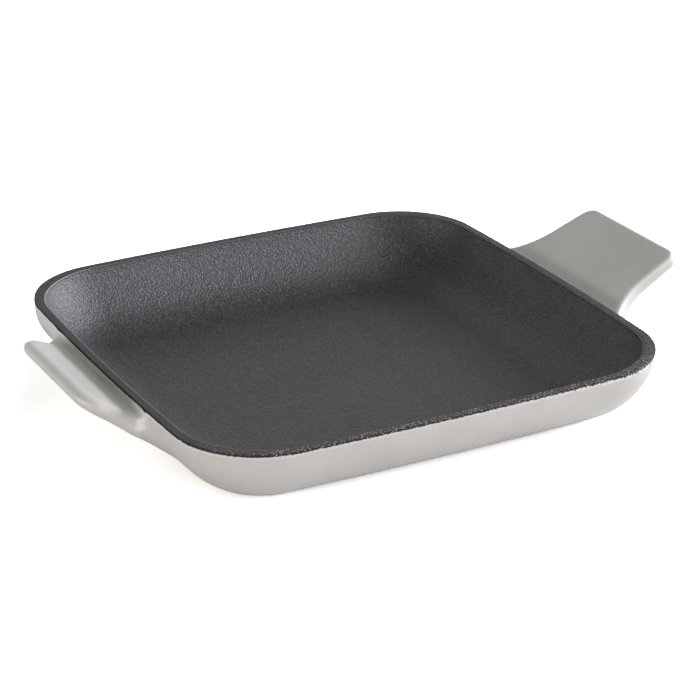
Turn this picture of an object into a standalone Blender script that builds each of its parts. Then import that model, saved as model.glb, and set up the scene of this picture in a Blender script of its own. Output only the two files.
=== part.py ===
"""Square enamelled cast-iron serving pan with a long lifting handle and a short helper handle.

Metres, +Z up. The origin is the centre of the flat underside, and +X points along the long handle.
Every surface of the pan is a parallel of one outer wall section, so a coat or a wall is named by
how deep it lies under the finished outside.
"""

import math
from collections import namedtuple

import bmesh
import bpy

# Pan, measured over the rim
PAN_SIDE = 0.2400
SIDE_BOW = 0.0014
CORNER_RADIUS = 0.0416
PAN_HEIGHT = 0.0326
WALL = 0.0040

# Outer wall in section: a drafted stretch under the rim, then a belly that runs in to the base
WALL_DRAFT = math.radians(7.0)
STRAIGHT_DROP = 0.0040
BASE_INSET = 0.0345
BELLY_FULLNESS_TOP = 0.40
BELLY_FULLNESS_BASE = 0.68
BASE_STEP = 0.0003

# Coats on the iron, and the gap that keeps neighbouring solids apart
COAT = 0.0004
COAT_GAP = 0.0003
RIM_COAT_HEIGHT = 0.0006
RIM_COAT_ROUND = 0.0002

# Handles: flat plates with rounded edges that rise out of the wall
HANDLE_BEND_RADIUS = 0.79
HANDLE_ROOT_DEPTH = 0.0140
HANDLE_ROOT_LIFT = 0.0060
ROOT_BLEND_OUT = 0.0105
ROOT_BLEND_UP = 0.0058
BLEND_SHARE = 0.8
FLARE_LIMIT = math.radians(60.0)

LONG_REACH = 0.0541
LONG_RISE = math.radians(27.2)
LONG_ROOT_DROP = 0.0077
LONG_HALF_WIDTH = 0.0400
LONG_TAPER = math.radians(6.0)
LONG_FLARE_START = 0.0300
LONG_FLARE_RADIUS = 0.0364
LONG_CORNER_RADIUS = 0.0055
LONG_ROOT_THICKNESS = 0.0083
LONG_TIP_THICKNESS = 0.0066
LONG_EDGE_RADIUS = 0.0025

SHORT_REACH = 0.0277
SHORT_RISE = math.radians(31.0)
SHORT_ROOT_DROP = 0.0074
SHORT_HALF_WIDTH = 0.0412
SHORT_TAPER = math.radians(20.0)
SHORT_FLARE_START = 0.0180
SHORT_FLARE_RADIUS = 0.0364
SHORT_CORNER_RADIUS = 0.0105
SHORT_ROOT_THICKNESS = 0.0083
SHORT_TIP_THICKNESS = 0.0068
SHORT_EDGE_RADIUS = 0.0034

# Facets
CORNER_STEPS = 7
SIDE_STEPS = 4
BELLY_STEPS = 8
TIP_STEPS = 5
PLATE_STEPS = 2
FLARE_STEPS = 4
BLEND_STEPS = 6
EDGE_STEPS = 3

Handle = namedtuple(
    "Handle",
    "side reach rise drop half_width taper flare_start flare_radius corner root tip edge",
)

Station = namedtuple("Station", "s n width facing normal slide")

LONG_HANDLE = Handle(
    1,
    LONG_REACH,
    LONG_RISE,
    LONG_ROOT_DROP,
    LONG_HALF_WIDTH,
    LONG_TAPER,
    LONG_FLARE_START,
    LONG_FLARE_RADIUS,
    LONG_CORNER_RADIUS,
    LONG_ROOT_THICKNESS,
    LONG_TIP_THICKNESS,
    LONG_EDGE_RADIUS,
)
SHORT_HANDLE = Handle(
    -1,
    SHORT_REACH,
    SHORT_RISE,
    SHORT_ROOT_DROP,
    SHORT_HALF_WIDTH,
    SHORT_TAPER,
    SHORT_FLARE_START,
    SHORT_FLARE_RADIUS,
    SHORT_CORNER_RADIUS,
    SHORT_ROOT_THICKNESS,
    SHORT_TIP_THICKNESS,
    SHORT_EDGE_RADIUS,
)


def spaced(low, high, steps):
    """Evenly spaced values from low to high, both ends included."""
    return [low + (high - low) * i / steps for i in range(steps + 1)]


def belly_point(t, depth):
    """(inset, height) on the belly at t from 0 to 1, depth under the finished outside."""
    straight_end = PAN_HEIGHT - STRAIGHT_DROP
    start = (STRAIGHT_DROP * math.tan(WALL_DRAFT), straight_end)
    meet = ((PAN_HEIGHT - BASE_STEP) * math.tan(WALL_DRAFT), BASE_STEP)
    end = (BASE_INSET, BASE_STEP)
    cage = [
        start,
        tuple(a + BELLY_FULLNESS_TOP * (b - a) for a, b in zip(start, meet)),
        tuple(a + BELLY_FULLNESS_BASE * (b - a) for a, b in zip(end, meet)),
        end,
    ]
    weights = [(1 - t) ** 3, 3 * t * (1 - t) ** 2, 3 * t * t * (1 - t), t**3]
    slopes = [-3 * (1 - t) ** 2, 3 * (1 - t) * (1 - 3 * t), 3 * t * (2 - 3 * t), 3 * t * t]
    inset, height = (sum(w * point[k] for w, point in zip(weights, cage)) for k in (0, 1))
    run, drop = (sum(w * point[k] for w, point in zip(slopes, cage)) for k in (0, 1))
    length = math.hypot(run, drop)
    return inset - depth * drop / length, height + depth * run / length


def wall_section(depth, top):
    """(inset, height) pairs from the height top down to the flat of the base, depth under the outside."""
    inset = depth / math.cos(WALL_DRAFT) + (PAN_HEIGHT - top) * math.tan(WALL_DRAFT)
    return [(inset, top)] + [belly_point(t, depth) for t in spaced(0, 1, BELLY_STEPS)]


def ring(inset, height):
    """Rounded square, inset from the rim's outline, each side bowed out a little, anticlockwise."""
    half = PAN_SIDE / 2 - inset
    radius = CORNER_RADIUS - inset
    centre = half - radius
    points = []
    for quarter in range(4):
        turn = quarter * math.pi / 2
        for angle in spaced(0, math.pi / 2, CORNER_STEPS):
            points.append((centre + radius * math.cos(angle), centre + radius * math.sin(angle), turn))
        for along in spaced(0, 1, SIDE_STEPS)[1:-1]:
            bow = SIDE_BOW * 4 * along * (1 - along)
            points.append((centre * (1 - 2 * along), half + bow, turn))
    return [
        (x * math.cos(turn) - y * math.sin(turn), x * math.sin(turn) + y * math.cos(turn), height)
        for x, y, turn in points
    ]


def solid(name, rings, looped=False):
    """A closed mesh through rings of equal length, capped at both ends or looped on itself."""
    mesh = bpy.data.meshes.new(name)
    shape = bmesh.new()
    rows = [[shape.verts.new(point) for point in points] for points in rings]
    pairs = list(zip(rows, rows[1:] + rows[:1])) if looped else list(zip(rows, rows[1:]))
    for lower, upper in pairs:
        for i in range(len(lower)):
            shape.faces.new((lower[i - 1], lower[i], upper[i], upper[i - 1]))
    if not looped:
        shape.faces.new(reversed(rows[0]))
        shape.faces.new(rows[-1])
    bmesh.ops.recalc_face_normals(shape, faces=shape.faces)
    shape.to_mesh(mesh)
    shape.free()
    return bpy.data.objects.new(name, mesh)


def lofted(name, section, looped=False):
    return solid(name, [ring(inset, height) for inset, height in section], looped)


def side_edge(handle, s, inset):
    """Half-width at s along a handle, and the angle that its side edge faces there."""
    centre_s = handle.flare_start + handle.flare_radius * math.sin(handle.taper)
    centre_w = handle.half_width + handle.flare_radius * math.cos(handle.taper)
    if s >= handle.flare_start:
        straight = handle.half_width - (s - handle.flare_start) * math.tan(handle.taper)
        return straight - inset / math.cos(handle.taper), handle.taper
    radius = handle.flare_radius + inset
    angle = math.asin(min((centre_s - s) / radius, math.sin(FLARE_LIMIT)))
    past = centre_s - radius * math.sin(angle) - s
    return centre_w - radius * math.cos(angle) + past * math.tan(angle), angle


def root_blend(handle, t, inset):
    """(s, n) on the blend from a handle's top into the wall, t from 0 to 1, and the way it faces."""
    lean = handle.rise + WALL_DRAFT
    run = handle.drop * math.tan(WALL_DRAFT) / (1 - math.tan(WALL_DRAFT) * math.tan(handle.rise))
    apex = SIDE_BOW / 8 / math.cos(lean) - run / math.cos(handle.rise)
    out = (1 - t) * ROOT_BLEND_OUT
    up = t * ROOT_BLEND_UP
    s = apex + (1 - t) * out + t * up * math.sin(lean)
    n = t * up * math.cos(lean)
    across = (up * math.cos(lean), out - up * math.sin(lean))
    length = math.hypot(*across)
    normal = (across[0] / length, across[1] / length)
    return (s - inset * normal[0], n - inset * normal[1]), normal


def handle_rows(handle, inset):
    """Rows from the tip to the root, each a station on top and one on the underside.

    s runs along the handle's top from the plane of the rim's edge and n stands off that top. A station
    also has the half-width, the angle that the plan outline faces there, the way its surface faces and
    the share of its edge rounding that runs in along the surface.
    """
    start, _ = root_blend(handle, 0, inset)

    def underside(s):
        thickness = handle.root + (handle.tip - handle.root) * s / handle.reach
        inward = max(0, start[0] - s) / (start[0] + HANDLE_ROOT_DEPTH)
        return inset - thickness + HANDLE_ROOT_LIFT * inward**2

    def row(upper, low, edge=None, normal=(0, 1), slide=1.0):
        edge = edge or side_edge(handle, low, inset)
        return (
            Station(*upper, *edge, normal, slide),
            Station(low, underside(low), *edge, (0, -1), 1.0),
        )

    rows = []
    corner_s = handle.reach - handle.corner
    corner_w = side_edge(handle, corner_s, handle.corner)[0]
    for angle in spaced(math.pi / 2, handle.taper, TIP_STEPS):
        s = corner_s + (handle.corner - inset) * math.sin(angle)
        edge = (corner_w + (handle.corner - inset) * math.cos(angle), angle)
        rows.append(row((s, -inset), s, edge))
    straight = spaced(s, handle.flare_start, PLATE_STEPS)[1:]
    for s in straight + spaced(handle.flare_start, start[0], FLARE_STEPS)[1:]:
        rows.append(row((s, -inset), s))
    lows = spaced(start[0], -HANDLE_ROOT_DEPTH, BLEND_STEPS)
    for low, t in list(zip(lows, spaced(0, 1, BLEND_STEPS)))[1:]:
        upper, normal = root_blend(handle, t, inset)
        edge = side_edge(handle, start[0] - t * ROOT_BLEND_OUT, inset)
        rows.append(row(upper, low, edge, normal, (1 - t) ** 2))
    return rows


def handle_point(handle, s, y, n):
    """World place of a point s along a handle, y across it and n off its top."""
    angle = handle.rise - s / HANDLE_BEND_RADIUS
    out = HANDLE_BEND_RADIUS * (math.sin(handle.rise) - math.sin(angle))
    up = HANDLE_BEND_RADIUS * (math.cos(angle) - math.cos(handle.rise))
    x = PAN_SIDE / 2 + out - n * math.sin(angle)
    z = PAN_HEIGHT - handle.drop + up + n * math.cos(angle)
    return handle.side * x, handle.side * y, z


def rounded_edge(station, radius, angle):
    """(s, y, n) on a station's rounded edge: angle is a right angle on the flat and 0 on the side."""
    side, off = station.normal
    sink = radius * (1 - math.sin(angle))
    pull = radius * (1 - math.cos(angle))
    slide = pull * math.sin(station.facing) * station.slide
    s = station.s - sink * side - slide * abs(off)
    n = station.n - sink * off + slide * side
    return s, station.width - pull * math.cos(station.facing), n


def handle_solid(name, handle, inset=0.0):
    """A handle with rounded edges, inset all over, its root buried in the pan's wall."""
    radius = handle.edge - inset
    rows = handle_rows(handle, inset)
    angles = spaced(0, math.pi / 2, EDGE_STEPS)
    layers = [(1, angle) for angle in reversed(angles)] + [(0, angle) for angle in angles]
    mesh = bpy.data.meshes.new(name)
    shape = bmesh.new()
    rings = []
    for end, angle in layers:
        loop = [rounded_edge(row[end], radius, angle) for row in rows]
        left = [shape.verts.new(handle_point(handle, s, y, n)) for s, y, n in reversed(loop)]
        right = [shape.verts.new(handle_point(handle, s, -y, n)) for s, y, n in loop]
        rings.append(left + right)
    for lower, upper in zip(rings, rings[1:]):
        for i in range(len(lower)):
            shape.faces.new((lower[i - 1], lower[i], upper[i], upper[i - 1]))
    for ring_verts, end in ((rings[0], 1), (rings[-1], 0)):
        bands = [[ring_verts[len(rows) - 1 - i], ring_verts[len(rows) + i]] for i in range(len(rows))]
        for band, row in list(zip(bands, rows))[1:-1]:
            s, width, n = rounded_edge(row[end], radius, math.pi / 2)
            if row[end].s < handle.flare_start:
                s, n = row[end].s, row[end].n
            for y in (BLEND_SHARE * width, -BLEND_SHARE * width):
                band.insert(-1, shape.verts.new(handle_point(handle, s, y, n)))
        shape.faces.new(bands[0] + bands[1][::-1])
        shape.faces.new(bands[-1] + bands[-2][::-1])
        for near, far in zip(bands[1:], bands[2:-1]):
            for i in range(3):
                shape.faces.new((near[i], near[i + 1], far[i + 1], far[i]))
    bmesh.ops.triangulate(shape, faces=shape.faces, quad_method="FIXED")
    bmesh.ops.recalc_face_normals(shape, faces=shape.faces)
    shape.to_mesh(mesh)
    shape.free()
    return bpy.data.objects.new(name, mesh)


def material(name, colour, roughness, metallic=0.0, coat=0.0):
    finish = bpy.data.materials.new(name)
    finish.use_nodes = True
    finish.diffuse_color = (*colour, 1.0)
    shader = finish.node_tree.nodes["Principled BSDF"]
    shader.inputs["Base Color"].default_value = (*colour, 1.0)
    shader.inputs["Roughness"].default_value = roughness
    shader.inputs["Metallic"].default_value = metallic
    shader.inputs["Coat Weight"].default_value = coat
    return finish


def finished(obj, collection, finish):
    collection.objects.link(obj)
    obj.data.materials.append(finish)
    obj.data.shade_smooth()
    obj.data.set_sharp_from_angle(angle=math.radians(35))
    return obj


def cutter(obj, collection):
    collection.objects.link(obj)
    obj.hide_render = True
    obj.display_type = "WIRE"
    return obj


def combine(obj, operation, other):
    boolean = obj.modifiers.new(other.name, "BOOLEAN")
    boolean.operation = operation
    boolean.object = other
    boolean.solver = "EXACT"


def pan_block(name, depth, top):
    """The pan's outer form without its hollow, depth under the finished outside."""
    return lofted(name, wall_section(depth, top))


def iron_casting(parts, cutters):
    """The pan and both handles, poured in one, with a flat rim."""
    depth = COAT + COAT_GAP
    top = PAN_HEIGHT - RIM_COAT_HEIGHT - COAT_GAP
    casting = pan_block("iron_casting", depth, top)
    for handle, name in ((LONG_HANDLE, "long_handle_core"), (SHORT_HANDLE, "short_handle_core")):
        combine(casting, "UNION", cutter(handle_solid(name, handle, depth), cutters))
    hollow = pan_block("hollow", WALL - depth, PAN_HEIGHT)
    combine(casting, "DIFFERENCE", cutter(hollow, cutters))
    return finished(casting, parts, material("iron", (0.10, 0.10, 0.10), 0.7, 0.8))


def outer_enamel(parts, cutters):
    """The gloss coat on the outside walls and round both handles, open at the base."""
    coat = pan_block("outer_enamel", 0, PAN_HEIGHT - RIM_COAT_HEIGHT - COAT_GAP)
    handles = ((LONG_HANDLE, "long_handle"), (SHORT_HANDLE, "short_handle"))
    for handle, name in handles:
        combine(coat, "UNION", cutter(handle_solid(name + "_skin", handle), cutters))
    section = wall_section(COAT, PAN_HEIGHT)
    hole = BASE_INSET - COAT_GAP
    section[-1] = (hole, section[-1][1])
    bed = cutter(lofted("enamel_bed", [*section, (hole, -COAT)]), cutters)
    for handle, name in handles:
        combine(bed, "UNION", cutter(handle_solid(name + "_bed", handle, COAT), cutters))
    combine(coat, "DIFFERENCE", bed)
    return finished(coat, parts, material("grey_enamel", (0.50, 0.475, 0.43), 0.2, coat=0.5))


def base_enamel(parts):
    """The enamel on the flat underside, which stands a little proud of the belly."""
    depth = BASE_STEP + COAT
    section = [(BASE_INSET, depth), (BASE_INSET, 0)]
    return finished(lofted("base_enamel", section), parts, material("base", (0.44, 0.42, 0.38), 0.35))


def inner_enamel(parts):
    """The satin black coat on the inside walls and floor."""
    top = PAN_HEIGHT - RIM_COAT_HEIGHT - COAT_GAP
    under = wall_section(WALL - COAT, top)
    over = wall_section(WALL, top)
    coat = lofted("inner_enamel", under[::-1] + over)
    return finished(coat, parts, material("black_enamel", (0.05, 0.05, 0.052), 0.5))


def rim_coat(parts):
    """The dark ground coat left bare on top of the rim, its two edges rounded."""
    top = PAN_HEIGHT
    low = PAN_HEIGHT - RIM_COAT_HEIGHT
    drafted = math.tan(WALL_DRAFT)
    across = WALL / math.cos(WALL_DRAFT)
    shoulder = top - RIM_COAT_ROUND
    section = [
        (RIM_COAT_HEIGHT * drafted, low),
        (RIM_COAT_ROUND * drafted, shoulder),
        (RIM_COAT_ROUND, top),
        (across - RIM_COAT_ROUND, top),
        (across + RIM_COAT_ROUND * drafted, shoulder),
        (across + RIM_COAT_HEIGHT * drafted, low),
    ]
    coat = lofted("rim_coat", section, looped=True)
    return finished(coat, parts, material("rim_ground_coat", (0.035, 0.032, 0.03), 0.65))


def build():
    for obj in list(bpy.data.objects):
        bpy.data.objects.remove(obj, do_unlink=True)
    parts = bpy.data.collections.new("serving_pan")
    cutters = bpy.data.collections.new("cutters")
    for collection in (parts, cutters):
        bpy.context.scene.collection.children.link(collection)
    iron_casting(parts, cutters)
    outer_enamel(parts, cutters)
    base_enamel(parts)
    inner_enamel(parts)
    rim_coat(parts)


build()
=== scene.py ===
"""Looks of the square enamelled cast-iron serving pan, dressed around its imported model.

Metres, +Z up. The origin is the centre of the flat underside, and +X points along the long handle.
"""

import math

import bmesh
import bpy
import numpy as np
from mathutils import Matrix, Vector


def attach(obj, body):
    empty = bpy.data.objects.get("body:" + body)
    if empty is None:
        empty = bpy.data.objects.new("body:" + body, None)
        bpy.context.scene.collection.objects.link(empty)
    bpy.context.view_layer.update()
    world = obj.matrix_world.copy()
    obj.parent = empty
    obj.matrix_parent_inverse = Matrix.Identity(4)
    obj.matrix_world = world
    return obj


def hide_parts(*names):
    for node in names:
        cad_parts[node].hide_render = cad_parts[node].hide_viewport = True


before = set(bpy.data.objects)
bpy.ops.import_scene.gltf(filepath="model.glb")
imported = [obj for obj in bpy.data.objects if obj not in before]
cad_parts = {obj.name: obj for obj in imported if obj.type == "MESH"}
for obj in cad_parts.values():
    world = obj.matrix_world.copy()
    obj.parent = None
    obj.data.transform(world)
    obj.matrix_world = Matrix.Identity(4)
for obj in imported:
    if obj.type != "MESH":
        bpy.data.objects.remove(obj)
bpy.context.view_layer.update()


# Outer enamel. The iron is one casting, a drafted wall that runs in to the base, with two flat
# handles that flare out of it. A warm light grey enamel is sprayed and fired over all its outside,
# 0.4 mm thick and glossy. It flows a little, so roots and edges are soft.
PAN_SIDE = 0.2400
PAN_HEIGHT = 0.0326
SIDE_BOW = 0.0014
CORNER_RADIUS = 0.0416
CORNER_CENTRE = PAN_SIDE / 2 - CORNER_RADIUS
WALL = 0.0040
WALL_DRAFT = math.radians(7.0)
STRAIGHT_DROP = 0.0040
BASE_INSET = 0.0345
BASE_STEP = 0.0003
BELLY_FULLNESS = (0.40, 0.68)
BELLY_STEPS = 44
COAT = 0.0004
COAT_GAP = 0.0003
RIM_COAT_HEIGHT = 0.0006
HANDLE_BEND_RADIUS = 0.79
ENAMEL_CELL = 0.00126
NET_LOW = np.array([-0.1525, -0.1255, -0.0025])
NET_SPAN = np.array([0.330, 0.251, 0.053])
SLOPE_STEP = 0.00002
SETTLE_ROUNDS = 6
PULL_ROUNDS = 2
CUT_ZONE = 0.0040
CUT_MERGE = 0.2
FOOT_ZONE = 0.0020
SHARP_ANGLE = math.radians(50)

LONG_HANDLE = {
    "side": 1,
    "reach": 0.0541,
    "rise": math.radians(27.2),
    "drop": 0.0077,
    "half_width": 0.0400,
    "taper": math.radians(6.0),
    "flare_start": 0.0300,
    "flare_radius": 0.0364,
    "corner": 0.0068,
    "root": 0.0083,
    "tip": 0.0066,
    "edge": 0.0018,
    "nose": 1.2,
    "ledge": 0.0265,
    "web": 0.0003,
}
SHORT_HANDLE = {
    "side": -1,
    "reach": 0.0277,
    "rise": math.radians(31.0),
    "drop": 0.0074,
    "half_width": 0.0412,
    "taper": math.radians(20.0),
    "flare_start": 0.0180,
    "flare_radius": 0.0364,
    "corner": 0.0140,
    "root": 0.0083,
    "tip": 0.0068,
    "edge": 0.0033,
    "nose": 1.7,
    "ledge": 0.0288,
    "web": 0.0011,
}
FLARE_LIMIT = math.radians(60.0)
ROOT_INSET = 0.0035
ROOT_DEPTH = 0.0120
ROOT_BLEND = 0.0060
TOP_BLEND = 0.0013
UNDER_BLEND = 0.0060
FLARE_MERGE = (0.010, 0.053)
LEDGE_EDGE = 0.0011
LEDGE_BLEND = 0.0006
SKIRT_END = 0.0020
ROOT_SINK = 0.0160
SINK_RANGE = (0.034, 0.054)
WEB_HEIGHT = 0.0220
WEB_SPREAD = 0.0080
WEB_FADE = (0.086, 0.114)


def wall_curve(start, upper, lower, end, steps):
    """Points down a wall's section, a cubic curve, and which way each one faces."""
    t = np.linspace(0, 1, steps + 1)[:, None]
    points = (1 - t) ** 3 * start + 3 * t * (1 - t) ** 2 * upper
    points = points + 3 * t**2 * (1 - t) * lower + t**3 * end
    along = (1 - t) ** 2 * (upper - start) + 2 * t * (1 - t) * (lower - upper)
    along = along + t**2 * (end - lower)
    along = along / np.linalg.norm(along, axis=1)[:, None]
    return points, np.stack([along[:, 1], -along[:, 0]], 1)


def belly():
    """(inset, height) points down the outer wall, from under its drafted stretch to the base."""
    draft = math.tan(WALL_DRAFT)
    start = np.array([STRAIGHT_DROP * draft, PAN_HEIGHT - STRAIGHT_DROP])
    meet = np.array([(PAN_HEIGHT - BASE_STEP) * draft, BASE_STEP])
    end = np.array([BASE_INSET, BASE_STEP])
    upper = start + BELLY_FULLNESS[0] * (meet - start)
    lower = end + BELLY_FULLNESS[1] * (meet - end)
    return wall_curve(start, upper, lower, end, BELLY_STEPS)


def plan_inset(x, y):
    """How far a point lies in from the rim's outline, seen from above."""
    x, y = np.abs(x), np.abs(y)
    past_x, past_y = np.maximum(x - CORNER_CENTRE, 0), np.maximum(y - CORNER_CENTRE, 0)
    corner = CORNER_RADIUS - np.hypot(past_x, past_y)
    end_side = PAN_SIDE / 2 + SIDE_BOW * (1 - np.minimum(y / CORNER_CENTRE, 1) ** 2) - x
    long_side = PAN_SIDE / 2 + SIDE_BOW * (1 - np.minimum(x / CORNER_CENTRE, 1) ** 2) - y
    in_corner = (x > CORNER_CENTRE) & (y > CORNER_CENTRE)
    return np.where(in_corner, corner, np.minimum(end_side, long_side))


def joined(a, b, blend):
    """Distance to two shapes as one, with a hollow fillet of that reach where they meet."""
    near = np.maximum(blend - np.abs(a - b), 0)
    return np.minimum(a, b) - near**2 / (4 * blend)


def rounded(a, b, radius):
    """Distance to where two shapes overlap, its corner rounded."""
    a, b = a + radius, b + radius
    return np.hypot(np.maximum(a, 0), np.maximum(b, 0)) + np.minimum(np.maximum(a, b), 0) - radius


def eased(share):
    """The share, kept from 0 to 1, with no kink at either end."""
    share = np.clip(share, 0, 1)
    return share * share * (3 - 2 * share)


def handle_outline(handle, s, y):
    """Signed distance to a handle's outline seen square to its top, s out from the rim's plane."""
    taper, corner = handle["taper"], handle["corner"]
    start, radius = handle["flare_start"], handle["flare_radius"]
    straight = (y - handle["half_width"] + (s - start) * math.tan(taper)) * math.cos(taper)
    corner_s = handle["reach"] - corner
    corner_w = handle["half_width"] - (corner_s - start) * math.tan(taper)
    corner_w = corner_w - corner / math.cos(taper)
    swing = np.arctan2(y - corner_w, s - corner_s)
    tip = np.maximum(straight, s - handle["reach"])
    in_corner = (swing > 0) & (swing < math.pi / 2 - taper)
    outer = np.where(in_corner, np.hypot(s - corner_s, y - corner_w) - corner, tip)
    centre_s = start + radius * math.sin(taper)
    centre_w = handle["half_width"] + radius * math.cos(taper)
    facing = np.arctan2(centre_s - s, centre_w - y)
    arc = radius - np.hypot(s - centre_s, y - centre_w)
    last_s = centre_s - radius * math.sin(FLARE_LIMIT)
    last_w = centre_w - radius * math.cos(FLARE_LIMIT)
    skirt = (s - last_s) * math.sin(FLARE_LIMIT) + (y - last_w) * math.cos(FLARE_LIMIT)
    flare = np.where(facing > FLARE_LIMIT, skirt, arc)
    return np.where(facing > taper, flare, outer)


def handle_distance(handle, x, y, z, inset):
    """Signed distance to a handle, reach of its blend into the pan, and its web's swell there."""
    rise = handle["rise"]
    centre_x = PAN_SIDE / 2 + HANDLE_BEND_RADIUS * math.sin(rise)
    centre_z = PAN_HEIGHT - handle["drop"] - HANDLE_BEND_RADIUS * math.cos(rise)
    along, across = handle["side"] * x, np.abs(y)
    n = np.hypot(along - centre_x, z - centre_z) - HANDLE_BEND_RADIUS
    s = (rise - np.arctan2(centre_x - along, z - centre_z)) * HANDLE_BEND_RADIUS
    toward_tip = np.clip(s / handle["reach"], 0, 1)
    thickness = handle["root"] + (handle["tip"] - handle["root"]) * toward_tip
    sunk = eased((across - SINK_RANGE[0]) / (SINK_RANGE[1] - SINK_RANGE[0]))
    root = ROOT_INSET + ROOT_SINK * sunk - inset
    outline = joined(handle_outline(handle, np.maximum(s, SKIRT_END), across), root, ROOT_BLEND)
    nose = np.abs(n + thickness / 2) - thickness / 2
    plate = rounded(outline / handle["nose"], nose, handle["edge"])
    ledge = np.maximum(rounded(outline, z - handle["ledge"], LEDGE_EDGE), -n - thickness / 2)
    solid = np.maximum(-ROOT_DEPTH - s, joined(plate, ledge, LEDGE_BLEND))
    on_top = np.clip(1 + n / thickness, 0, 1)
    off_flare = np.clip((FLARE_MERGE[1] - across) / FLARE_MERGE[0], 0, 1)
    blend = UNDER_BLEND + (TOP_BLEND - UNDER_BLEND) * eased(on_top * off_flare)
    fade = eased((WEB_FADE[1] - across) / (WEB_FADE[1] - WEB_FADE[0]))
    swell = handle["web"] * np.exp(-(((z - WEB_HEIGHT) / WEB_SPREAD) ** 2))
    return solid, blend, np.where(along > 0, swell * fade, 0)


# The pan's section is the overlap of many half planes: one along each step of the belly and one
# along the drafted stretch above it.
belly_points, belly_outward = belly()
draft_outward = np.array([[-math.cos(WALL_DRAFT), -math.sin(WALL_DRAFT)]])
line_out = np.concatenate([belly_outward, draft_outward])
line_off = (np.concatenate([belly_points, belly_points[:1]]) * line_out).sum(axis=1)


def skin_distance(points):
    """Signed distance from the finished outside, the pan's hollow and rim left filled."""
    x, y, z = points.T
    inset = plan_inset(x, y)
    pan = (np.stack([inset, z], 1) @ line_out.T - line_off).max(axis=1)
    pan = np.maximum(pan, z - PAN_HEIGHT - STRAIGHT_DROP)
    roots = [handle_distance(handle, x, y, z, inset) for handle in (LONG_HANDLE, SHORT_HANDLE)]
    pan = pan - sum(swell for _, _, swell in roots)
    for handle, blend, _ in roots:
        pan = joined(pan, handle, blend)
    return pan


def skin_slope(points):
    """Which way the outside faces near each point, and how fast its distance grows that way."""
    slopes = []
    for axis in np.eye(3) * SLOPE_STEP:
        gain = skin_distance(points + axis) - skin_distance(points - axis)
        slopes.append(gain / (2 * SLOPE_STEP))
    slopes = np.stack(slopes, 1)
    growth = np.linalg.norm(slopes, axis=1)[:, None]
    return slopes / growth, growth


def net(cell, depth):
    """Four-sided faces that deep under the outside, with a point in each cell that it crosses."""
    counts = np.ceil(NET_SPAN / cell).astype(int)
    axes = [low + cell * np.arange(count) for low, count in zip(NET_LOW, counts)]
    slabs = []
    for x in axes[0]:
        y, z = np.meshgrid(axes[1], axes[2], indexing="ij")
        slab = np.stack([np.full(y.size, x), y.ravel(), z.ravel()], 1)
        slabs.append(skin_distance(slab).reshape(y.shape) < -depth)
    inside = np.stack(slabs)
    filled = np.zeros(counts - 1, int)
    for i in (0, 1):
        for j in (0, 1):
            for k in (0, 1):
                ends = [slice(a, a + n) for a, n in zip((i, j, k), counts - 1)]
                filled += inside[tuple(ends)]
    crossed = (filled > 0) & (filled < 8)
    index = np.full(crossed.shape, -1)
    index[crossed] = np.arange(crossed.sum())
    points = NET_LOW + cell * (np.argwhere(crossed) + 0.5)
    quads = []
    for axis in range(3):
        order = (axis, (axis + 1) % 3, (axis + 2) % 3)
        full, number = inside.transpose(order), index.transpose(order)
        i, j, k = np.nonzero(full[:-1, 1:-1, 1:-1] != full[1:, 1:-1, 1:-1])
        ring = ((0, 0), (1, 0), (1, 1), (0, 1))
        quad = np.stack([number[i, j + right, k + up] for right, up in ring], 1)
        turned = ~full[i, j + 1, k + 1]
        quad[turned] = quad[turned][:, ::-1]
        quads.append(quad)
    return points, np.concatenate(quads)


def settled(points, quads, depth):
    """The points evened out along the surface and put back on it, that deep under the outside."""
    starts = quads.ravel()
    ends = np.roll(quads, -1, axis=1).ravel()
    counts = np.bincount(starts, minlength=len(points)) + np.bincount(ends, minlength=len(points))
    for _ in range(SETTLE_ROUNDS):
        total = np.zeros_like(points)
        np.add.at(total, starts, points[ends])
        np.add.at(total, ends, points[starts])
        points = total / counts[:, None]
        for _ in range(PULL_ROUNDS):
            facing, growth = skin_slope(points)
            points = points - facing * (skin_distance(points)[:, None] + depth) / growth
    return points


def clear(shape, faces):
    """Takes faces out of a shape, with the points that only they used."""
    bmesh.ops.delete(shape, geom=faces, context="FACES")
    loose = [vert for vert in shape.verts if not vert.link_faces]
    bmesh.ops.delete(shape, geom=loose, context="VERTS")


def made_object(name, shape):
    """An object in the scene from a shape, smooth but for its sharp edges."""
    mesh = bpy.data.meshes.new(name)
    shape.to_mesh(mesh)
    shape.free()
    mesh.shade_smooth()
    mesh.set_sharp_from_angle(angle=SHARP_ANGLE)
    made = bpy.data.objects.new(name, mesh)
    bpy.context.scene.collection.objects.link(made)
    return made


enamel_top = PAN_HEIGHT - RIM_COAT_HEIGHT - COAT_GAP


def open_pan(cell, depth):
    """The outside, that deep under it, cut level just under the rim's ground coat."""
    points, quads = net(cell, depth)
    points = settled(points, quads, depth)
    shape = bmesh.new()
    verts = [shape.verts.new(point) for point in points]
    for quad in quads:
        shape.faces.new([verts[i] for i in quad])
    shape.verts.index_update()
    inset = plan_inset(points[:, 0], points[:, 1])
    at_wall = (inset > -CUT_ZONE) & (points[:, 2] > enamel_top - CUT_ZONE)
    upper_wall = {face for face in shape.faces if all(at_wall[v.index] for v in face.verts)}
    wall_edges = {edge for face in upper_wall for edge in face.edges}
    wall_verts = {vert for face in upper_wall for vert in face.verts}
    bmesh.ops.bisect_plane(
        shape,
        geom=list(upper_wall | wall_edges | wall_verts),
        dist=0.000001,
        plane_co=(0, 0, enamel_top),
        plane_no=(0, 0, 1),
        clear_outer=True,
    )
    clear(shape, [])
    cut = [vert for vert in shape.verts if vert.is_boundary]
    bmesh.ops.remove_doubles(shape, verts=cut, dist=CUT_MERGE * cell)
    return shape


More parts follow.
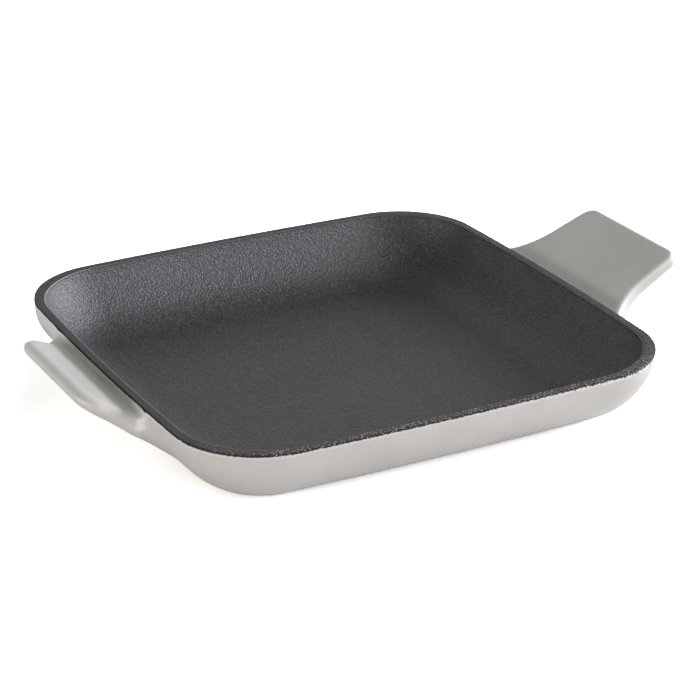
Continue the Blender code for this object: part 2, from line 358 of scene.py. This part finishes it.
# The coat is open over the flat of the base, which is enamelled on its own.
base_hole = BASE_INSET - COAT_GAP
skin = open_pan(ENAMEL_CELL, 0)
skin.verts.index_update()
skin_points = np.array([vert.co for vert in skin.verts], float)
point_inset = plan_inset(skin_points[:, 0], skin_points[:, 1])
over_base = (point_inset > base_hole) & (skin_points[:, 2] < FOOT_ZONE)
clear(skin, [face for face in skin.faces if all(over_base[v.index] for v in face.verts)])
for vert in skin.verts:
    if vert.is_boundary and vert.co.z < FOOT_ZONE:
        short = plan_inset(vert.co.x, vert.co.y) - base_hole
        nearest = Vector([max(-CORNER_CENTRE, min(CORNER_CENTRE, value)) for value in vert.co.xy])
        vert.co.xy += (vert.co.xy - nearest).normalized() * float(short)

# The back of the coat follows its face, 0.4 mm under it, and the two are closed along both cuts.
skin.verts.index_update()
skin.normal_update()
face_points = np.array([vert.co for vert in skin.verts], float)
back_points = face_points - COAT * skin_slope(face_points)[0]
at_rim = np.array([vert.is_boundary and vert.co.z > FOOT_ZONE for vert in skin.verts])
back_points[at_rim, 2] = enamel_top
cut_loops = [edge.link_loops[0] for edge in skin.edges if edge.is_boundary]
borders = [(loop.vert.index, loop.link_loop_next.vert.index) for loop in cut_loops]
faces = list(skin.faces)
front = list(skin.verts)
back = [skin.verts.new(point) for point in back_points]
for face in faces:
    skin.faces.new([back[vert.index] for vert in reversed(face.verts)])
for a, b in borders:
    skin.faces.new((front[b], front[a], back[a], back[b]))
grey_coat = made_object("grey_enamel_coat", skin)


class Socket:
    """An output of a material's node; arithmetic on it adds Math nodes to the same material."""

    # A Mix node's colour sockets share their names with its others, so they go by number.
    COLOUR_A, COLOUR_B, COLOUR_RESULT = 6, 7, 2

    def __init__(self, tree, socket=None):
        self.tree = tree
        self.socket = socket

    def node(self, kind, settings=None, inputs=None, output=0):
        """Adds a node, its settings first and then the values or links of its inputs."""
        made = self.tree.nodes.new(kind)
        for name, value in (settings or {}).items():
            setattr(made, name, value)
        for name, value in (inputs or {}).items():
            if isinstance(value, Socket):
                self.tree.links.new(value.socket, made.inputs[name])
            else:
                made.inputs[name].default_value = value
        return Socket(self.tree, made.outputs[output])

    def math(self, operation, *values):
        return self.node("ShaderNodeMath", {"operation": operation}, dict(enumerate(values)))

    def __abs__(self):
        return self.math("ABSOLUTE", self)

    def __add__(self, other):
        return self.math("ADD", self, other)

    __radd__ = __add__

    def __sub__(self, other):
        return self.math("SUBTRACT", self, other)

    def __rsub__(self, other):
        return self.math("SUBTRACT", other, self)

    def __mul__(self, other):
        return self.math("MULTIPLY", self, other)

    __rmul__ = __mul__

    def between(self, low, high):
        """0 at low and 1 at high, eased."""
        return self.node(
            "ShaderNodeMapRange",
            {"interpolation_type": "SMOOTHSTEP"},
            {"Value": self, "From Min": low, "From Max": high},
        )

    def mixed(self, first, second, blend="MIX"):
        """The first colour where this is 0, and the second on top of it where this is 1."""
        return self.node(
            "ShaderNodeMix",
            {"data_type": "RGBA", "blend_type": blend},
            {"Factor": self, self.COLOUR_A: first, self.COLOUR_B: second},
            self.COLOUR_RESULT,
        )


def new_finish(name, constants):
    """A material, its shader, and the start of its expressions."""
    made = bpy.data.materials.new(name)
    made.use_nodes = True
    shader = made.node_tree.nodes["Principled BSDF"]
    for socket, value in constants.items():
        shader.inputs[socket].default_value = value
    return made, shader, Socket(made.node_tree)


def place_in_pan(nodes):
    """Where on the pan a point is, in metres from its origin."""
    return nodes.node("ShaderNodeTexCoord", output="Object")


def part_of(nodes, place, axis):
    """One of the three coordinates of a place."""
    return nodes.node("ShaderNodeSeparateXYZ", inputs={"Vector": place}, output=axis)


def noise(nodes, place, size, detail=2.0, roughness=0.5):
    """Soft random values, about 0 to 1, whose blotches are that size in metres."""
    return nodes.node(
        "ShaderNodeTexNoise",
        inputs={"Vector": place, "Scale": 1 / size, "Detail": detail, "Roughness": roughness},
    )


def pit_distance(nodes, place, per_metre):
    """How far a point lies from the middle of its pit, as a share of the pits' spacing."""
    return nodes.node(
        "ShaderNodeTexVoronoi", {"feature": "F1"}, {"Vector": place, "Scale": per_metre}, "Distance"
    )


def along_way(nodes, vector, way):
    """How far a vector goes along another."""
    return nodes.node(
        "ShaderNodeVectorMath", {"operation": "DOT_PRODUCT"}, {0: vector, 1: way}, "Value"
    )


def bump(nodes, height, distance, strength=1.0):
    """Relief of that depth in metres, for a shader's Normal."""
    return nodes.node(
        "ShaderNodeBump", inputs={"Strength": strength, "Distance": distance, "Height": height}
    )


def feed(shader, sockets):
    """Links sockets of the shader to what varies over the surface."""
    for name, value in sockets.items():
        value.tree.links.new(value.socket, shader.inputs[name])


GREY_SHADE = (0.500, 0.478, 0.442, 1)
GREY_LIGHT = (0.545, 0.524, 0.490, 1)
GREY_CLOUD = (0.975, 0.972, 0.966, 1)
GREY_LIP_HIGHLIGHT = (0.585, 0.568, 0.54, 1)
GREY_GLINT = (0.78, 0.78, 0.78, 1)
GREY_BARE = (0.040, 0.036, 0.034, 1)

# Each _FROM is the stretch, in metres, over which a mark comes in. The two _BY are how much the
# lip's edge wavers up and down, everywhere and, on top of that, where it is chipped.
HANDLE_FROM = (0.1225, 0.1245)
CHIP_AND_GLINT_FROM = (0.05, 0.13)
LIP_HIGHLIGHT_FROM = (0.0296, 0.0308)
PITTED_FROM = (0.0292, 0.0306)
BARE_FROM = (0.03130, 0.03150)
RAGGED_BY = 0.0020
CHIPPED_BY = 0.0045

grey, grey_shader, nodes = new_finish(
    "grey_enamel", {"IOR": 1.5, "Coat Weight": 0.35, "Coat Roughness": 0.20}
)
place = place_in_pan(nodes)
across, height = part_of(nodes, place, "X"), part_of(nodes, place, "Z")
mottle = noise(nodes, place, 0.030, detail=3.0)
cloud = noise(nodes, place, 0.006)
body = mottle.between(0.3, 0.7).mixed(GREY_SHADE, GREY_LIGHT)
body = cloud.between(0.25, 0.75).mixed(body, GREY_CLOUD, "MULTIPLY")

# A paler band along the enamel's lip under the rim is painted highlight, for its rounded edge
# catching the light. Toward the front right the lip is more ragged and pitted, and its pale specks
# there are painted glints.
off_handles = 1 - abs(across).between(*HANDLE_FROM)
near_rim = noise(nodes, place, 0.0011, detail=3.0, roughness=0.7)
toward_front_right = (across - part_of(nodes, place, "Y")) * 0.5
# This mask makes the lip more ragged and pitted toward the front right, and also places the painted
# glints there.
chipped_and_glinting = toward_front_right.between(*CHIP_AND_GLINT_FROM)
ragged = (height + (near_rim - 0.5) * (RAGGED_BY + chipped_and_glinting * CHIPPED_BY)) * off_handles
# Painted highlight: the band along the top of the outer enamel is made paler, as if its edge caught
# the light.
lip_highlight = ragged.between(*LIP_HIGHLIGHT_FROM)
body = lip_highlight.mixed(body, GREY_LIP_HIGHLIGHT)
# Painted glints: pale specks on the lip toward the front right, where the light catches it.
body = (lip_highlight * chipped_and_glinting * 0.8).mixed(body, GREY_GLINT)
pits = pit_distance(nodes, place, 750.0)
pitted = (1 - pits.between(0.16, 0.30)) * height.between(*PITTED_FROM) * chipped_and_glinting
bare = nodes.math("MAXIMUM", ragged.between(*BARE_FROM), pitted * off_handles)
body = bare.mixed(body, GREY_BARE)

peel = noise(nodes, place, 0.0016, detail=1.0)
sag = noise(nodes, place, 0.011, detail=1.0)
feed(
    grey_shader,
    {
        "Base Color": body,
        "Roughness": 0.26 + cloud * 0.10 + bare * 0.35,
        "Normal": bump(nodes, peel * 0.35 + sag, 0.00022, strength=0.30),
    },
)
grey_coat.data.materials.append(grey)
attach(grey_coat, "root")
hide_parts("outer_enamel")


# Inner enamel. A satin black enamel, fired rough so that fat clings to it, covers the inside of the
# wall and the flat floor in one run. It is 0.4 mm thick and looks finely sanded, like black stone.
INNER_DRAFT = math.radians(13.0)
INNER_RUNS = (0.0075, 0.0220)
INNER_STEPS = 32
INNER_ROUNDER = 0.0046
FLOOR_INSET = 0.0380
FLOOR_HEIGHT = BASE_STEP + WALL
FLOOR_SHARES = (0.85, 0.65, 0.45, 0.25, 0.08)
RIM_CLEARANCE = 0.0004
rim_across = WALL / math.cos(WALL_DRAFT)


def outline(inset, height, rounder=0.0, corner_steps=24, side_steps=40):
    """The pan's outline, that far in from the rim's, as a loop of points at one height."""
    half = PAN_SIDE / 2 - inset
    radius = CORNER_RADIUS - inset + rounder
    centre = half - radius
    points = []
    for i in range(corner_steps + 1):
        angle = i / corner_steps * math.pi / 2
        points.append((centre + radius * math.cos(angle), centre + radius * math.sin(angle)))
    for i in range(1, side_steps):
        along = i / side_steps
        bow = SIDE_BOW * 4 * along * (1 - along)
        points.append((centre * (1 - 2 * along), half + bow))
    loop = []
    for quarter in range(4):
        c, s = math.cos(quarter * math.pi / 2), math.sin(quarter * math.pi / 2)
        loop += [(x * c - y * s, x * s + y * c, height) for x, y in points]
    return loop


def shrunk(loop, share):
    """The loop drawn in towards the pan's middle."""
    return [(x * share, y * share, z) for x, y, z in loop]


def skinned(name, loops, closed=False):
    """An object skinned over the loops, capped at both ends unless it closes on itself."""
    shape = bmesh.new()
    rows = [[shape.verts.new(point) for point in loop] for loop in loops]
    pairs = list(zip(rows, rows[1:]))
    if closed:
        pairs.append((rows[-1], rows[0]))
    else:
        shape.faces.new(reversed(rows[0]))
        shape.faces.new(rows[-1])
    for lower, upper in pairs:
        for i in range(len(lower)):
            shape.faces.new((lower[i - 1], lower[i], upper[i], upper[i - 1]))
    bmesh.ops.recalc_face_normals(shape, faces=shape.faces)
    return made_object(name, shape)


def inner_wall(depth, top):
    """Loops down the inside, that deep under its finished face, and on over the floor."""
    slope = np.array([math.sin(INNER_DRAFT), -math.cos(INNER_DRAFT)])
    edge = np.array([rim_across, PAN_HEIGHT])
    foot = np.array([FLOOR_INSET, FLOOR_HEIGHT])
    upper = edge + INNER_RUNS[0] * slope
    lower = foot - np.array([INNER_RUNS[1], 0])
    points, outward = wall_curve(edge, upper, lower, foot, INNER_STEPS)
    points = points + depth * outward
    first = rim_across + (PAN_HEIGHT - top) * math.tan(INNER_DRAFT) - depth / math.cos(INNER_DRAFT)
    loops = [outline(first, top, INNER_ROUNDER)]
    below = [point for point in points if point[1] < top - RIM_CLEARANCE]
    loops += [outline(*point, INNER_ROUNDER) for point in below]
    return loops + [shrunk(loops[-1], share) for share in FLOOR_SHARES]


under = inner_wall(COAT, enamel_top)
over = inner_wall(0, enamel_top)
black_coat = skinned("black_enamel_coat", under[::-1] + over)

BLACK_DEEP = (0.0195, 0.0185, 0.0195, 1)
BLACK_WORN = (0.027, 0.026, 0.027, 1)
BLACK_GRAIN = (0.084, 0.081, 0.083, 1)
UP_WALL = (0.006, 0.016)

black, black_shader, nodes = new_finish(
    "black_enamel", {"IOR": 1.6, "Specular Tint": (0.97, 0.95, 1.0, 1)}
)
place = place_in_pan(nodes)
up_wall = part_of(nodes, place, "Z").between(*UP_WALL)
grain = noise(nodes, place, 0.0010, roughness=0.6)
coarse = noise(nodes, place, 0.0026)
patch = noise(nodes, place, 0.045, detail=3.0)
base = patch.between(0.3, 0.7).mixed(BLACK_DEEP, BLACK_WORN)
base = grain.between(0.45, 0.68).mixed(base, BLACK_GRAIN)
feed(
    black_shader,
    {
        "Base Color": base,
        "Roughness": 0.30 + grain * 0.14 + patch * 0.06,
        "Normal": bump(nodes, (grain + coarse * 0.5) * (0.9 + up_wall * 0.8), 0.00034),
    },
)
black_coat.data.materials.append(black)
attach(black_coat, "root")
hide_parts("inner_enamel")


# Iron casting. The pan and both handles are one pour of grey iron, 4 mm at the wall, shot-blasted
# before it is enamelled. No iron is left bare, so this is the rough dark skin under the coats.
IRON_CELL = 0.0020
iron_depth = COAT + COAT_GAP
shape = open_pan(IRON_CELL, iron_depth)
inner_rows = [
    [shape.verts.new(point) for point in loop] for loop in inner_wall(iron_depth, enamel_top)
]
for upper, lower in zip(inner_rows, inner_rows[1:]):
    for i in range(len(upper)):
        shape.faces.new((upper[i - 1], upper[i], lower[i], lower[i - 1]))
shape.faces.new(inner_rows[-1])
rim_edges = [edge for edge in shape.edges if edge.is_boundary]
bmesh.ops.triangle_fill(shape, use_beauty=True, use_dissolve=False, edges=rim_edges)
bmesh.ops.recalc_face_normals(shape, faces=shape.faces)
casting = made_object("iron_pan_casting", shape)

IRON_SHADE = (0.075, 0.073, 0.072, 1)
IRON_LIGHT = (0.14, 0.135, 0.13, 1)

iron, iron_shader, nodes = new_finish("cast_iron", {"Metallic": 0.85})
place = place_in_pan(nodes)
sand = noise(nodes, place, 0.0007, detail=3.0, roughness=0.6)
feed(
    iron_shader,
    {
        "Base Color": sand.between(0.3, 0.7).mixed(IRON_SHADE, IRON_LIGHT),
        "Roughness": 0.55 + sand * 0.3,
        "Normal": bump(nodes, sand, 0.0001),
    },
)
casting.data.materials.append(iron)
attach(casting, "root")
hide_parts("iron_casting")


# Rim. The top of the wall is left in its dark ground coat, because enamel chips there: the pan is
# ground level and fired on that edge, so it is rough, pitted and a little ragged where the two
# enamels stop short of it.
RIM_CORNER_STEPS = 110
RIM_SIDE_STEPS = 330
OUTER_EDGE_RADIUS = 0.0003
INNER_EDGE_DROP = 0.00055
INNER_EDGE_WIDTH = 0.0011
FLAT_SHARES = np.linspace(0.15, 0.68, 5)
rim_low = PAN_HEIGHT - RIM_COAT_HEIGHT
crown = [(RIM_COAT_HEIGHT * math.tan(WALL_DRAFT), rim_low)]
for turn in np.linspace(0, math.pi / 2, 5):
    drop = OUTER_EDGE_RADIUS * (1 - math.sin(turn))
    crown.append((OUTER_EDGE_RADIUS * (1 - math.cos(turn)), PAN_HEIGHT - drop))
crown += [(rim_across * share, PAN_HEIGHT) for share in FLAT_SHARES]
for turn in np.linspace(0, 1, 7) * math.pi / 2:
    inward = rim_across - INNER_EDGE_WIDTH * (1 - math.sin(turn))
    crown.append((inward, PAN_HEIGHT - INNER_EDGE_DROP * (1 - math.cos(turn))))
crown.append((rim_across + RIM_COAT_HEIGHT * math.tan(INNER_DRAFT), rim_low))
rim_loops = []
for inset, height in crown:
    rounder = INNER_ROUNDER * min(1.0, max(0.0, inset / rim_across))
    rim_loops.append(outline(inset, height, rounder, RIM_CORNER_STEPS, RIM_SIDE_STEPS))
rim = skinned("rim_ground_coat", rim_loops, closed=True)

RIM_DEEP = (0.022, 0.019, 0.018, 1)
RIM_GRIT = (0.070, 0.061, 0.058, 1)
RIM_INNER_HIGHLIGHT = (0.30, 0.285, 0.28, 1)
RIM_OUTER_EDGE = (0.016, 0.014, 0.013, 1)
RIM_GLINT = (0.42, 0.41, 0.41, 1)

rim_dark, rim_shader, nodes = new_finish("ground_coat", {"IOR": 1.38})
place = place_in_pan(nodes)
across = part_of(nodes, place, "X")
grit = noise(nodes, place, 0.0009, detail=3.0, roughness=0.7)
pits = pit_distance(nodes, place, 850.0)
along_front = 1 - part_of(nodes, place, "Y").between(-0.116, -0.090)
right_side = across.between(0.095, 0.118)
left_side = 1 - across.between(-0.115, -0.060)
patchy = noise(nodes, place, 0.012).between(0.3, 0.6)
# Where painted glints go on the rim: along the front, and in patches on the right.
glint_zone = nodes.math("MAXIMUM", along_front * (0.45 + patchy * 0.55), right_side * patchy * 0.4)
outward = along_way(nodes, nodes.node("ShaderNodeTexCoord", output="Normal"), place)
inner_edge = 1 - outward.between(-0.050, 0.010)
outer_edge = outward.between(0.055, 0.095)
painted_glints = (1 - pits.between(0.24, 0.42)) * glint_zone
tone = grit.between(0.3, 0.7).mixed(RIM_DEEP, RIM_GRIT)
# Painted highlight: the rim's inner edge is made paler, most on the left side, as if it caught the
# light.
tone = (inner_edge * (0.25 + left_side * 0.65)).mixed(tone, RIM_INNER_HIGHLIGHT)
tone = (outer_edge * 0.8).mixed(tone, RIM_OUTER_EDGE)
# Painted glints: pale specks at the pits' middles toward the front and right.
tone = (painted_glints * 0.8).mixed(tone, RIM_GLINT)
feed(
    rim_shader,
    {
        "Base Color": tone,
        "Roughness": 0.42 + grit * 0.25 - inner_edge * 0.18,
        "Normal": bump(nodes, grit + pits * 0.4, 0.0003),
    },
)
rim.data.materials.append(rim_dark)
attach(rim, "root")
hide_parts("rim_coat")


# Base. The flat that the pan stands on is enamelled last and wiped thin, then ground level after
# firing, so it is duller than the walls, a little blotched, and shows fine straight scratches.
BASE_EDGE = 0.00012
BASE_SHARES = (0.9, 0.7, 0.5, 0.3, 0.1)
foot = [
    (BASE_INSET, BASE_STEP + COAT),
    (BASE_INSET, BASE_EDGE),
    (BASE_INSET + BASE_EDGE, 0.0),
]
foot_loops = [outline(*point) for point in foot]
foot_loops += [shrunk(foot_loops[-1], share) for share in BASE_SHARES]
base_coat = skinned("base_enamel_coat", foot_loops)

BASE_SHADE = (0.40, 0.382, 0.350, 1)
BASE_LIGHT = (0.47, 0.452, 0.420, 1)
BASE_SCRATCH = (0.30, 0.285, 0.262, 1)
SCRATCH_STRETCH = (1.0, 18.0, 1.0)

ground, ground_shader, nodes = new_finish("base_enamel", {"IOR": 1.5})
place = place_in_pan(nodes)
stretched = nodes.node(
    "ShaderNodeVectorMath", {"operation": "MULTIPLY"}, {0: place, 1: SCRATCH_STRETCH}
)
scratch = noise(nodes, stretched, 0.010, detail=3.0, roughness=0.6)
stain = noise(nodes, place, 0.028, detail=4.0, roughness=0.6)
tone = stain.between(0.3, 0.7).mixed(BASE_SHADE, BASE_LIGHT)
tone = scratch.between(0.60, 0.72).mixed(tone, BASE_SCRATCH)
feed(
    ground_shader,
    {
        "Base Color": tone,
        "Roughness": 0.36 + scratch * 0.25,
        "Normal": bump(nodes, scratch, 0.00005, strength=0.4),
    },
)
base_coat.data.materials.append(ground)
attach(base_coat, "root")
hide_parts("base_enamel")


# Floor: a plain pale sheet that the pan stands on, which the camera sees as white where it is lit.
SHEET_REACH = 4.0
SHEET_LEVEL = -0.0003
SHEET_PALE = (0.85, 0.85, 0.85, 1)
SHEET_SEEN = (2.6, 2.6, 2.6, 1)
corners = ((-1, -1), (1, -1), (1, 1), (-1, 1))
floor_mesh = bpy.data.meshes.new("floor")
floor_mesh.from_pydata(
    [(x * SHEET_REACH, y * SHEET_REACH, SHEET_LEVEL) for x, y in corners], [], [(0, 1, 2, 3)]
)
floor = bpy.data.objects.new("floor", floor_mesh)
bpy.context.scene.collection.objects.link(floor)
sheet = bpy.data.materials.new("pale_sheet")
sheet.use_nodes = True
nodes = Socket(sheet.node_tree)
seen = nodes.node("ShaderNodeLightPath", output="Is Camera Ray")
white = seen.mixed(SHEET_PALE, SHEET_SEEN)
matt = nodes.node("ShaderNodeBsdfDiffuse", inputs={"Color": white})
sheet_output = sheet.node_tree.nodes["Material Output"]
sheet.node_tree.links.new(matt.socket, sheet_output.inputs["Surface"])
floor_mesh.materials.append(sheet)


# Light: a soft box off the end of the long handle gives the pan's right side and the inside of its
# far left corner their sheen. A wide low box and a weak high one fill the left, and a bright pale
# room, strongest toward the front right, does the rest. The camera itself sees plain white.
PAN_MIDDLE = Vector((0, 0, 0.02))
COOL_WHITE = (0.935, 0.945, 1.0, 1)
ROOM_SIDES = (((0.707, -0.707, 0), 3.85), ((1, 0, 0), 0.42), ((0, 1, 0), 0.80))
OVERHEAD_GLOSS = 0.22


def soft_box(name, place, size, power, colour=(1, 1, 1)):
    """A lamp that faces the pan, so wide and so tall."""
    lamp = bpy.data.lights.new(name, "AREA")
    lamp.shape = "RECTANGLE"
    lamp.size, lamp.size_y = size
    lamp.energy = power
    lamp.color = colour
    made = bpy.data.objects.new(name, lamp)
    made.location = place
    made.rotation_euler = (PAN_MIDDLE - made.location).to_track_quat("-Z", "Y").to_euler()
    bpy.context.scene.collection.objects.link(made)


soft_box("side_box", (1.15, 0.12, 0.30), size=(0.5, 0.5), power=13.0, colour=(0.935, 0.95, 1.0))
soft_box("left_box", (-1.10, 0.00, 0.17), size=(1.10, 0.32), power=5.7)
soft_box("left_high_box", (-1.00, -0.35, 0.35), size=(0.6, 0.6), power=1.3)
world = bpy.data.worlds.new("studio")
bpy.context.scene.world = world
world.use_nodes = True
surround = world.node_tree.nodes["Background"]
nodes = Socket(world.node_tree)
seen, in_gloss, through = [
    nodes.node("ShaderNodeLightPath", output=ray)
    for ray in ("Is Camera Ray", "Is Glossy Ray", "Is Transmission Ray")
]
compass = nodes.node("ShaderNodeTexCoord", output="Generated")
room = part_of(nodes, compass, "Z").between(0.35, 1.0) * in_gloss * OVERHEAD_GLOSS
for way, side_strength in ROOM_SIDES:
    toward = nodes.math("MAXIMUM", along_way(nodes, compass, way), 0.0)
    room = room + toward * toward * side_strength
seen_white = nodes.math("MAXIMUM", seen, through)
strength = room * (1 - seen_white) + seen_white
cool = part_of(nodes, compass, "X").between(-0.2, 0.8) * (1 - seen_white)
tint = cool.mixed((1, 1, 1, 1), COOL_WHITE)
world.node_tree.links.new(tint.socket, surround.inputs["Color"])
world.node_tree.links.new(strength.socket, surround.inputs["Strength"])


# Camera: stands off the front left, a little above the pan.
camera_data = bpy.data.cameras.new("camera")
camera_data.lens = 118.67
camera_data.sensor_width = 36.0
camera = bpy.data.objects.new("camera", camera_data)
camera.matrix_world = Matrix(
    (
        (0.883089, 0.189770, -0.429116, -0.46815),
        (-0.469198, 0.352414, -0.809727, -0.89684),
        (-0.002436, 0.916401, 0.400253, 0.45784),
        (0, 0, 0, 1),
    )
)
bpy.context.scene.collection.objects.link(camera)
bpy.context.scene.camera = camera
bpy.context.scene.view_settings.view_transform = "Standard"
